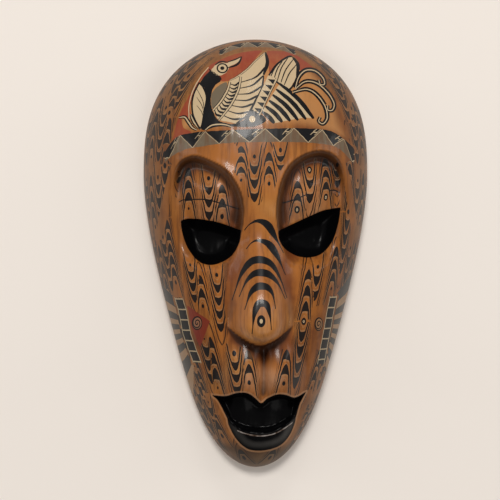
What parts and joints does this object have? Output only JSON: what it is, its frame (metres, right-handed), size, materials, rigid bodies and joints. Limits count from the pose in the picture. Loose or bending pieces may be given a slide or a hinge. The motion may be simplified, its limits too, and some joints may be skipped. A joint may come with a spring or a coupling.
{
  "type": "carved wooden face mask",
  "caption": "Long oval face mask carved from one block of wood, painted and varnished, with a hollowed back and a flat rim it lies on.",
  "frame": {"origin": "on the plane of the flat back rim, below the middle of the mask's bounding box", "axes": "+Y from the chin to the crown, +Z from the back rim out of the face, +X to the viewer's right when looking at the face"},
  "size_m": [0.157, 0.3, 0.0824],
  "materials": {
    "carved_wood": "satin varnish over painted pattern, eyes and mouth in gloss black"
  },
  "bodies": {
    "root": {"mask": "carved_wood"}
  },
  "joints": []
}
